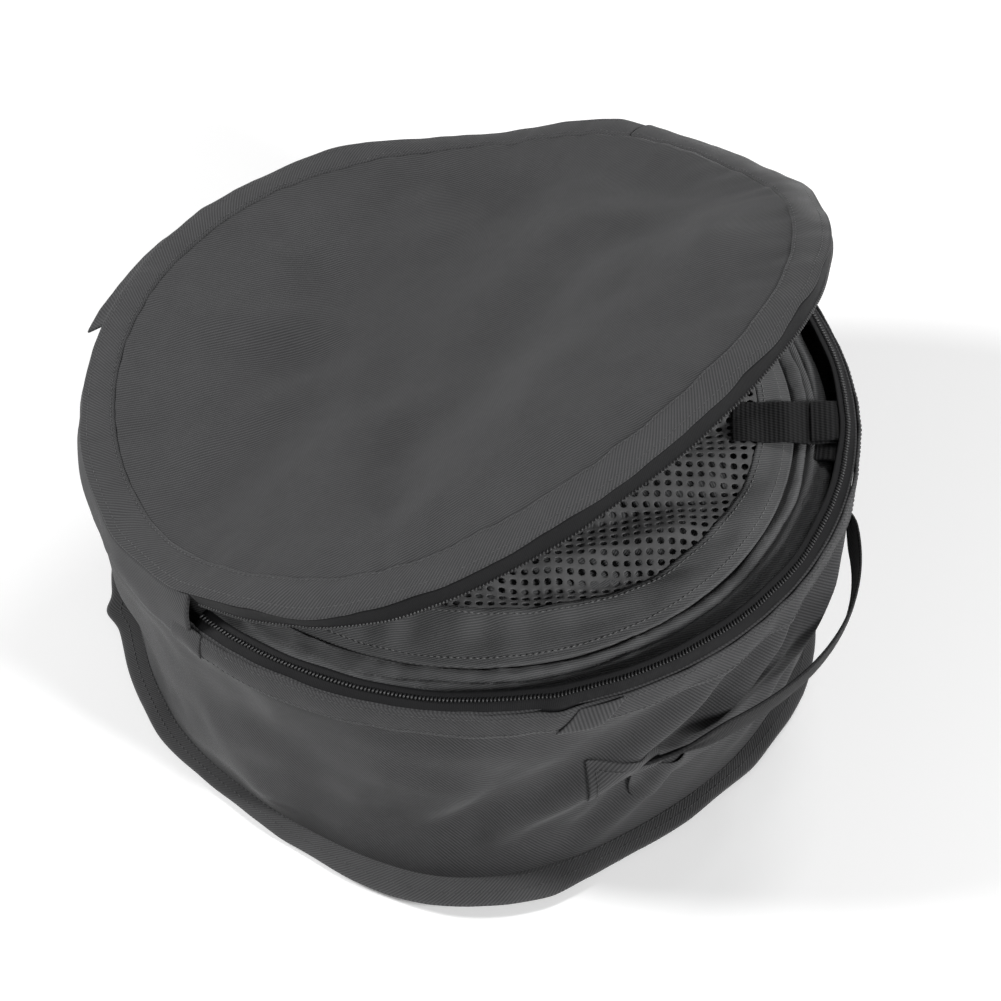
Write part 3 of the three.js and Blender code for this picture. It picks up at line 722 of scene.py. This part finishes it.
def build_zip():
    def azimuth(u):
        return BINDING_START + (BINDING_END - BINDING_START) * u

    def cloth(u, v):
        return math.radians(azimuth(u)) * RIM_RADIUS, 14 * v

    tape = add_piece("drum_tape_and_shade_band", grid(260, 8, lambda u, v: on_drum_tape(azimuth(u), v), cloth), TAPE, 0.8)
    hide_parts("drum_zip_tape")
    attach(tape, "case")
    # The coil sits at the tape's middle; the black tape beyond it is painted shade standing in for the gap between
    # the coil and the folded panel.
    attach(coil_teeth("drum_teeth", on_drum_tape, 0.52, 1.0, ["drum_zip_coil"]), "case")

    tape = add_piece("lid_tape", grid(260, 8, lambda u, v: on_lid_tape(azimuth(u), v), cloth), TAPE, 0.8)
    follow_lid(tape)
    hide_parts("lid_zip_tape")
    teeth = coil_teeth("lid_teeth", on_lid_tape, 0.90, -0.2, ["lid_zip_coil"])
    follow_lid(teeth)

    for side, centre in (("left", BINDING_START - 1), ("right", BINDING_END + 1)):
        def place(u, v, centre=centre):
            azimuth_here = centre + 6 * (u - 0.5)
            puff = 1.2 + 0.8 * math.sin(math.pi * u) * math.sin(math.pi * v)
            return on_binding(azimuth_here, 0.02 + 1.06 * v, puff)

        cover = add_piece(f"end_tab_{side}", grid(14, 12, place, lambda u, v: (20 * u, 18 * v)),
                          HEM_CLOTH_FINISH, 1.0, levels=1)
        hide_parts(f"zip_end_cover_{side}")
        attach(cover, "case")


# ---------------------------------------------------------------- lid

def build_lid():
    def spot(u, v):
        return polar(LID_SEAM_RADIUS * v ** 0.85, 360 * u, 0)

    def place(u, v):
        flat = spot(u, v)
        return on_lid(flat.x, flat.y, lid_swell(flat.x, flat.y))

    skin = add_piece("lid_skin", grid(420, 62, place, lambda u, v: spot(u, v).xy, closed=True), CASE_CLOTH, CLOTH)
    follow_lid(skin)
    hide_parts("lid_rear_panel", "lid_flap_panel")


def build_lid_hem():
    hem = add_piece("lid_hem", grid(
        520, 7, lambda u, v: on_lid_hem(360 * u, v, 0.5),
        lambda u, v: (math.radians(360 * u) * LID_RADIUS, 18 * v), closed=True), HEM_CLOTH_FINISH, HEM_CLOTH,
        levels=1)
    follow_lid(hem)
    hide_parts("lid_rear_hem", "lid_flap_hem")
    for row, share in (("inner", 0.12), ("outer", 0.80)):
        stitches = stitch_row(f"lid_hem_stitches_{row}", lambda t, s=share: on_lid_hem(t, s, 1.5), 0, 360,
                              lambda t: Vector((0, 0.3, 1)), THREAD_DARK)
        follow_lid(stitches)

    def loose_end(u, v):
        reach = 0.72 + (0.50 + 0.30 * smooth(u, 0.0, 1.0)) * v
        return on_lid_hem(79 + 25 * u + 1.8 * v, reach, -1.4 - 2.0 * v + 0.6 * math.sin(4 * u))

    lap = add_piece("lid_hem_lap", grid(
        40, 9, loose_end, lambda u, v: (86 * u, 18 * v)), HEM_CLOTH_FINISH, 1.4, levels=1)
    follow_lid(lap)


# ---------------------------------------------------------------- folded panel and its hoops

SLEEVE_HALF_WIDTH = 5.2
HOOP_SPREAD = 11.9  # from a hoop's middle radius to the outside of its outermost turn
HOOP_SWAY = 6.5  # radial share of that taken up by the turns lying side by side
HOOP_TURNS = 3
HOOP_PHASE = math.radians(90 - 298 / HOOP_TURNS)  # the turns' highest point lies under the keeper
TURN_SHARE = math.sqrt(3) / 2


def build_sleeves():
    """Each hoop's sleeve winds three times round the stack."""
    for index, name in enumerate(("lower", "middle", "upper")):
        node = f"hoop_sleeve_{name}"
        centre = high(node, 0) - HOOP_SPREAD
        middle = (low(node, 2) + high(node, 2)) / 2
        half = (high(node, 2) - low(node, 2)) / 2
        rise = half / (1 + TURN_SHARE)

        def place(u, v, centre=centre, middle=middle, rise=rise, tall=half - rise, index=index):
            turned = u * HOOP_TURNS * 2 * math.pi
            phase = turned / HOOP_TURNS + HOOP_PHASE
            round_it = 2 * math.pi * v
            pinch = 1 - 0.12 * abs(ripple(turned * 30, 3 * v, index * 7, 5))
            radius = centre + HOOP_SWAY * math.cos(phase) + SLEEVE_HALF_WIDTH * pinch * math.cos(round_it)
            z = middle + rise * math.sin(phase) + (tall - 0.5) * pinch * math.sin(round_it)
            return polar(radius, math.degrees(turned), z)

        sleeve = add_piece(f"sleeve_{name}", grid(
            330, 14, place, lambda u, v: (3300 * u, 40 * v), closed=True), PANEL_CLOTH)
        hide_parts(node)
        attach(sleeve, "disc")


def puff_up(piece, cap, frames=20, pressure=4.0):
    """Blows a padded piece up a little with Blender's cloth, then keeps the result as its mesh."""
    data = piece.data
    start = [vert.co.copy() for vert in data.vertices]
    cloth = piece.modifiers.new("cloth", "CLOTH")
    cloth.settings.use_pressure = True
    cloth.settings.uniform_pressure_force = pressure
    cloth.settings.effector_weights.gravity = 0
    cloth.settings.mass = 0.3
    cloth.settings.quality = 5
    cloth.settings.tension_stiffness = 12
    cloth.settings.compression_stiffness = 12
    cloth.settings.bending_stiffness = 0.2
    for step in range(1, frames + 1):
        bpy.context.scene.frame_set(step)
    moved = piece.evaluated_get(bpy.context.evaluated_depsgraph_get()).to_mesh()
    for vert, before, after in zip(data.vertices, start, [v.co.copy() for v in moved.vertices]):
        shift = after - before
        limit = cap * MM
        vert.co = before + (shift if shift.length < limit else shift.normalized() * limit)
    piece.modifiers.remove(cloth)
    bpy.context.scene.frame_set(1)


def remeshed(name, mesh, material, voxel):
    """A padded form with even faces, ready for the cloth."""
    piece = add_piece(name, mesh, material)
    remesh = piece.modifiers.new("even", "REMESH")
    remesh.mode = "VOXEL"
    remesh.voxel_size = voxel * MM
    even = bpy.data.meshes.new_from_object(piece.evaluated_get(bpy.context.evaluated_depsgraph_get()))
    piece.modifiers.clear()
    piece.data = even
    even.polygons.foreach_set("use_smooth", [True] * len(even.polygons))
    return piece


RIM_PAD = [  # section of the padded rim over the top hoop: radius and height, outside first
    (186.4, 134.0), (187.6, 140.0), (185.8, 145.2), (180.0, 147.0), (174.0, 146.6), (168.0, 147.0),
    (163.6, 145.0), (162.6, 141.0), (163.5, 137.5), (172.0, 137.0), (181.0, 136.0),
]
RIM_GROOVES = [(175.2, 3.4, 1.7), (165.6, 2.6, 1.5), (181.6, 1.2, 1.2)]  # radius, depth and width


def sew_grooves(piece):
    """Pulls the pad's top down along its seams, and puckers the cloth beside them."""
    for vert in piece.data.vertices:
        radius = vert.co.xy.length / MM
        azimuth = math.degrees(math.atan2(vert.co.y, vert.co.x))
        if vert.co.z > 141 * MM:
            drop = 0.5 * ripple(azimuth, radius / 4, 8, 3.0) + 0.9 * ripple(azimuth, radius / 8, 5, 9)
            for groove, depth, width in RIM_GROOVES:
                sway = 1.3 * ripple(azimuth, groove, 4, 14)
                drop += depth * hump(radius - groove - sway, width)
            vert.co.z -= drop * MM


def build_rim_pad():
    """The cloth that covers the top hoop: a soft ring with sewn grooves round it."""
    def place(u, v):
        spot = v * len(RIM_PAD)
        index = int(spot) % len(RIM_PAD)
        here, after = RIM_PAD[index], RIM_PAD[(index + 1) % len(RIM_PAD)]
        share = spot - int(spot)
        azimuth = 360 * u
        bump = 0.8 * ripple(azimuth, index * 0.4, 2, 9)
        radius = here[0] + (after[0] - here[0]) * share + 0.4 * bump
        z = here[1] + (after[1] - here[1]) * share + 0.7 * bump
        return polar(radius, azimuth, z)

    mesh = grid(420, len(RIM_PAD) * 2, place, lambda u, v: (0, 0), closed=True)
    pad = remeshed("rim_pad", mesh, PADDED_CLOTH, 3.0)
    puff_up(pad, 2.0)
    bpy.context.view_layer.update()
    subdivided(pad)
    sew_grooves(pad)
    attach(pad, "disc")


def subdivided(piece):
    """One level of smoothing, kept as the mesh itself so that seams can be pressed into it."""
    mesh = bmesh.new()
    mesh.from_mesh(piece.data)
    bmesh.ops.subdivide_edges(mesh, edges=mesh.edges, cuts=1, use_grid_fill=True)
    bmesh.ops.smooth_vert(mesh, verts=mesh.verts, factor=0.5, use_axis_x=True, use_axis_y=True, use_axis_z=True)
    mesh.to_mesh(piece.data)
    mesh.free()
    piece.data.polygons.foreach_set("use_smooth", [True] * len(piece.data.polygons))


def build_folded_cloth():
    """The panel's cloth lies in soft folds between the hoops, in three layers."""
    for index, name in enumerate(("lower", "middle", "upper")):
        node = f"folded_panel_{name}"
        radius = high(node, 0) - 1.5
        bottom, top = low(node, 2), high(node, 2)

        def place(u, v, radius=radius, bottom=bottom, top=top, index=index):
            share = abs(2 * v - 1)
            reach = radius * math.cos(share * math.pi / 2) ** 0.55
            side = 1 if v > 0.5 else -1
            half = (top - bottom) / 2 - 1.4
            thick = half * min(1, share * 1.9) ** 0.5
            flat = polar(reach, 360 * u, 0)
            fold = 1.3 * ripple(flat.x + 60 * index, flat.y, side * 20, 34) * min(1, share * 2)
            return Vector((flat.x, flat.y, (bottom + top) / 2 + side * thick + fold))

        cloth = add_piece(f"folded_cloth_{name}", grid(
            200, 48, place, lambda u, v: (polar(radius * abs(2 * v - 1), 360 * u, 0)).xy, closed=True), PANEL_CLOTH)
        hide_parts(node)
        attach(cloth, "disc")


WINDOW_CENTRE = Vector((10, -6))
WINDOW_RADIUS = 143.0
BORDER_RADIUS = 166.0
WINDOW_LEVEL = TOP_LEVEL + 2.6


WINDOW_CREASES = [  # start, end, width, height
    ((60, -150), (-30, -40), 8, 3.4),
    ((35, -150), (-60, -60), 6, -2.6),
    ((10, -155), (-80, -70), 7, 3.0),
    ((-30, -150), (-100, -70), 6, -2.4),
    ((100, -110), (10, -40), 8, 3.0),
    ((-70, -130), (-120, -60), 7, 2.8),
    ((80, -130), (-10, -60), 5, -2.2),
    ((-140, -30), (-60, 10), 8, 2.4),
]


def window_swell(x, y):
    """Folds in the slack mesh and in the cloth round it."""
    folds = 2.0 * ripple(x, y, 55, 38) + 1.3 * ripple(x * 0.6 + y * 0.4, y - x * 0.5, 77, 17)
    radius = math.hypot(x, y)
    for start, end, width, height in WINDOW_CREASES:
        folds += height * crease(x, y, start, end, width)
    return folds * (1 - 0.75 * smooth(radius, 145, 170))


def on_window(x, y, up=0.0):
    return Vector((x, y, WINDOW_LEVEL + window_swell(x, y) + up))


def build_window_border():
    """The plain cloth between the mesh window and the padded rim."""
    def spot(u, v):
        inner = Vector((*WINDOW_CENTRE, 0)) + polar(WINDOW_RADIUS - 5, 360 * u, 0)
        outer = polar(BORDER_RADIUS, 360 * u, 0)
        return inner.lerp(outer, v)

    def place(u, v):
        flat = spot(u, v)
        return on_window(flat.x, flat.y, -1.6 * smooth(v, 0.6, 1) + 0.4)

    border = add_piece("window_border_cloth", grid(
        360, 14, place, lambda u, v: spot(u, v).xy, closed=True), PANEL_CLOTH, 1.0)
    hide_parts("window_border")
    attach(border, "disc")

    def mesh_edge(azimuth):
        flat = WINDOW_CENTRE + polar(WINDOW_RADIUS - 1.5, azimuth, 0).xy
        return on_window(flat.x, flat.y, 1.2)

    def rim_edge(azimuth):
        flat = polar(BORDER_RADIUS - 5, azimuth, 0)
        return on_window(flat.x, flat.y, 0.5)

    for row, path in (("window", mesh_edge), ("rim", rim_edge)):
        stitches = stitch_row(f"border_stitches_{row}", path, 0, 360, lambda t: Vector((0, 0, 1)), THREAD_LIGHT)
        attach(stitches, "disc")


HOLE_PITCH = 5.7
HOLE_SHARE = 0.34  # yarn left on each side of a hole, as a share of half the pitch


def build_window_mesh():
    """Open-hole mesh, cut from a square grid that lies diagonally."""
    cells = round(2 * WINDOW_RADIUS / HOLE_PITCH)
    mesh = bmesh.new()
    bmesh.ops.create_grid(mesh, x_segments=cells, y_segments=cells, size=cells * HOLE_PITCH / 2)
    outside = [face for face in mesh.faces if face.calc_center_median().length > WINDOW_RADIUS]
    bmesh.ops.delete(mesh, geom=outside, context="FACES")
    holes = list(mesh.faces)
    bmesh.ops.inset_individual(mesh, faces=holes, thickness=HOLE_PITCH * HOLE_SHARE * 0.5, use_even_offset=True)
    bmesh.ops.delete(mesh, geom=holes, context="FACES")
    bmesh.ops.rotate(mesh, verts=mesh.verts, cent=(0, 0, 0), matrix=Matrix.Rotation(math.radians(31), 3, "Z"))
    weave = mesh.loops.layers.uv.new("weave")
    for face in mesh.faces:
        for loop in face.loops:
            loop[weave].uv = loop.vert.co.xy * MM
    for vert in mesh.verts:
        x, y = vert.co.x + WINDOW_CENTRE.x, vert.co.y + WINDOW_CENTRE.y
        vert.co = on_window(x, y, 0.2) * MM
    window = add_piece("window_mesh", mesh, MESH_YARN, 0.7, levels=1)
    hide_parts("mesh_window")
    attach(window, "disc")


KEEPER_AZIMUTH = 298.0
KEEPER_WIDTH = 29.0


def build_keeper():
    """The webbing keeper: a strap across the padded rim, and an upright tab down over it."""
    outward = polar(1, KEEPER_AZIMUTH, 0)
    side = polar(1, KEEPER_AZIMUTH + 90, 0)

    def on_strap(u, v, up=0.0):
        radius = 134 + 54 * u
        flat = outward * radius + side * KEEPER_WIDTH * (v - 0.5)
        level = on_window(flat.x, flat.y).z * (1 - smooth(radius, 140, 165)) + 149.6 * smooth(radius, 140, 165)
        sag = -1.2 * math.sin(math.pi * smooth(radius, 160, 186))
        return Vector((flat.x, flat.y, level + 1.8 + sag + up))

    strap = add_piece("keeper_band", grid(
        44, 14, on_strap, lambda u, v: (54 * u, KEEPER_WIDTH * v)), WEBBING, 1.5, levels=1)
    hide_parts("keeper_strap")
    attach(strap, "disc")

    def fold(u, v):
        return on_strap(0.74 + 0.28 * u, 0.02 + 0.96 * v, 1.7 + 0.5 * math.sin(math.pi * v))

    folded = add_piece("keeper_fold", grid(
        14, 14, fold, lambda u, v: (14 * u, KEEPER_WIDTH * v)), WEBBING, 1.5, levels=1)
    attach(folded, "disc")

    def on_tab(u, v):
        azimuth = KEEPER_AZIMUTH - 4.5 + 21 / 188 * math.degrees(1) * (v - 0.5)
        height = 121 + 28.5 * min(u / 0.72, 1)
        inward = 12 * smooth(u, 0.70, 1.0)
        bow = 1.2 * math.sin(math.pi * min(u / 0.72, 1))
        drop = -1.0 * smooth(u, 0.8, 1.0)
        return polar(189.4 + bow - inward, azimuth, height + drop)

    tab = add_piece("keeper_loop", grid(
        40, 14, on_tab, lambda u, v: (56 * u, KEEPER_WIDTH * v)), WEBBING, 1.5, levels=1)
    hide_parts("keeper_tab")
    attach(tab, "disc")


def finish_hoop_bands():
    for name in ("lower", "middle", "upper"):
        for part in ("band", "ferrule"):
            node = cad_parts[f"hoop_{part}_{name}"]
            for material_slot in node.material_slots:
                material_slot.material = STEEL


# ---------------------------------------------------------------- handle

HANDLE_HALF_CHORD = 110.8
HANDLE_CHORD_Y = -158.3
HANDLE_LEVEL = 80.0
HANDLE_BOW = 57.0
HANDLE_WIDTH = 25.0


def build_handle():
    """A webbing loop that stands off the drum, sewn down through bunched ends."""
    lift = math.radians(16)

    def on_strap(u, v):
        t = 2 * u - 1
        depth = HANDLE_BOW * (1 - t * t)
        narrow = 0.16 + 0.84 * (1 - smooth(abs(t), 0.66, 0.90))
        half = HANDLE_WIDTH / 2 * narrow
        rise = (2 * v - 1) * half
        gather = 2.2 * (1 - narrow) * math.sin(3 * math.pi * v)
        cup = 1.6 * (2 * v - 1) ** 2
        twist = 5.0 * math.sin(2.6 * t) * (2 * v - 1)
        out = depth + gather - cup * 0.5
        return Vector((
            t * HANDLE_HALF_CHORD,
            HANDLE_CHORD_Y - out * math.cos(lift) - rise * math.sin(lift) * 0.8 + 0.3 * twist,
            HANDLE_LEVEL + out * math.sin(lift) + rise * math.cos(lift) - 3.0 * (1 - t * t) * 0.4,
        ))

    strap = add_piece("handle_strap", grid(
        130, 12, on_strap, lambda u, v: (280 * u, HANDLE_WIDTH * v)), WEBBING, 1.6, levels=1)
    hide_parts("carry_handle")
    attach(strap, "handle")

    for side, sign in (("left", -1), ("right", 1)):
        node = f"handle_tab_{side}"

        def place(u, v, sign=sign):
            azimuth = 270 + sign * (30.5 + 12.0 * u)
            half = 5.0 + 9.0 * smooth(u, 0.0, 0.5)
            z = HANDLE_LEVEL - 1.5 + (2 * v - 1) * half
            pleat = 1.3 * math.sin(5 * math.pi * v) * (1 - smooth(u, 0.1, 0.8))
            mouth = 7.5 * (1 - smooth(u, 0.0, 0.7)) * math.sin(math.pi * v)
            return on_wall(azimuth, z, 1.8 + pleat + mouth)

        tab = add_piece(f"handle_end_{side}", grid(
            24, 20, place, lambda u, v: (40 * u, 28 * v)), PATCH_CLOTH, 1.2, levels=1)
        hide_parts(node)
        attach(tab, "case")

        def box_stitch(t, sign=sign):
            corner = [(0.42, 0.15), (0.9, 0.15), (0.9, 0.85), (0.42, 0.85), (0.42, 0.15)]
            index = min(int(t), 3)
            share = t - index
            u = corner[index][0] + (corner[index + 1][0] - corner[index][0]) * share
            v = corner[index][1] + (corner[index + 1][1] - corner[index][1]) * share
            azimuth = 270 + sign * (30.5 + 12.0 * u)
            return on_wall(azimuth, HANDLE_LEVEL - 1.5 + (2 * v - 1) * 14, 2.9)

        stitches = stitch_row(f"handle_stitches_{side}", box_stitch, 0, 3.999,
                              lambda t, sign=sign: polar(1, 270 + sign * 39, 0), THREAD_DARK, 2.6)
        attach(stitches, "case")


def build_wall_patch():
    """A small pleated patch, sewn low on the wall beside the handle's end."""
    def place(u, v):
        azimuth = -124 + 17 * u
        z = 46 + 15 * v + 3 * u
        pleat = 1.6 * max(0, math.sin(4 * math.pi * u + 2.0 * v)) * (0.5 + 0.5 * v)
        return on_wall(azimuth, z, 1.6 + pleat)

    patch = add_piece("wall_patch", grid(40, 10, place, lambda u, v: (66 * u, 16 * v)), PATCH_CLOTH, 1.0, levels=1)
    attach(patch, "case")


def finish_slider():
    for name in ("zip_slider", "pull_tab"):
        for material_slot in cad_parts[name].material_slots:
            material_slot.material = LACQUER


# ---------------------------------------------------------------- studio

def add_floor():
    mesh = bmesh.new()
    bmesh.ops.create_grid(mesh, x_segments=2, y_segments=2, size=14)
    finish = Finish("studio_floor")
    place = finish.place(False)
    tone = finish.mix(finish.mottle(place, 900), (0.93, 0.93, 0.93), (0.96, 0.96, 0.96))
    diffuse = finish.node("ShaderNodeBsdfDiffuse", {}, {"Color": tone})
    glow = finish.node("ShaderNodeEmission", {}, {"Color": (1, 1, 1, 1), "Strength": 0.16})
    both = finish.node("ShaderNodeAddShader", {}, {0: diffuse.outputs[0], 1: glow.outputs[0]})
    path = finish.node("ShaderNodeLightPath", {}, {})
    seen = Number(finish, path.outputs["Is Camera Ray"])
    shader = finish.node("ShaderNodeMixShader", {}, {0: seen, 1: diffuse.outputs[0], 2: both.outputs[0]})
    finish.node("ShaderNodeOutputMaterial", {}, {"Surface": shader.outputs[0]})
    floor = add_piece("studio_floor", mesh, finish.material)


def add_world():
    world = bpy.data.worlds.new("studio")
    bpy.context.scene.world = world
    world.use_nodes = True
    finish = Finish.__new__(Finish)
    finish.tree = world.node_tree
    finish.tree.nodes.clear()
    path = finish.node("ShaderNodeLightPath", {}, {})
    seen = Number(finish, path.outputs["Is Camera Ray"]) + Number(finish, path.outputs["Is Glossy Ray"])
    seen = (seen + Number(finish, path.outputs["Is Transmission Ray"])).clamped()
    white = finish.node("ShaderNodeBackground", {}, {"Color": (1, 1, 1, 1), "Strength": 1.0})
    soft = finish.node("ShaderNodeBackground", {}, {"Color": (1, 1, 1, 1), "Strength": 0.12})
    mixed = finish.node("ShaderNodeMixShader", {}, {0: seen, 1: soft.outputs[0], 2: white.outputs[0]})
    finish.node("ShaderNodeOutputWorld", {}, {"Surface": mixed.outputs[0]})


def add_lamp(name, azimuth, elevation, distance, size, power):
    """A soft box that looks at the case. Azimuth 0 is in front of -Y, as for the camera."""
    angle, height = math.radians(azimuth), math.radians(elevation)
    away = Vector((math.sin(angle) * math.cos(height), -math.cos(angle) * math.cos(height), math.sin(height)))
    data = bpy.data.lights.new(name, "AREA")
    data.shape = "DISK"
    data.size = size
    data.energy = power
    lamp = bpy.data.objects.new(name, data)
    lamp.location = away * distance + Vector((0, 0, 0.1))
    lamp.rotation_euler = away.to_track_quat("Z", "Y").to_euler()
    bpy.context.scene.collection.objects.link(lamp)


def add_studio():
    add_floor()
    add_world()
    add_lamp("key", -61 - 88, 38, 2.4, 0.5, 52)
    add_lamp("front", -61 + 50, 30, 2.4, 0.5, 46)
    add_lamp("back", -61 + 150, 48, 2.6, 0.8, 14)
    bpy.context.scene.view_settings.view_transform = "Standard"


# ---------------------------------------------------------------- everything

build_rim_pad()
build_wall()
build_base()
build_base_hem()
build_binding()
build_gusset()
build_zip()
build_lid()
build_lid_hem()
build_sleeves()
build_folded_cloth()
build_window_border()
build_window_mesh()
build_keeper()
finish_hoop_bands()
build_handle()
build_wall_patch()
finish_slider()
add_studio()
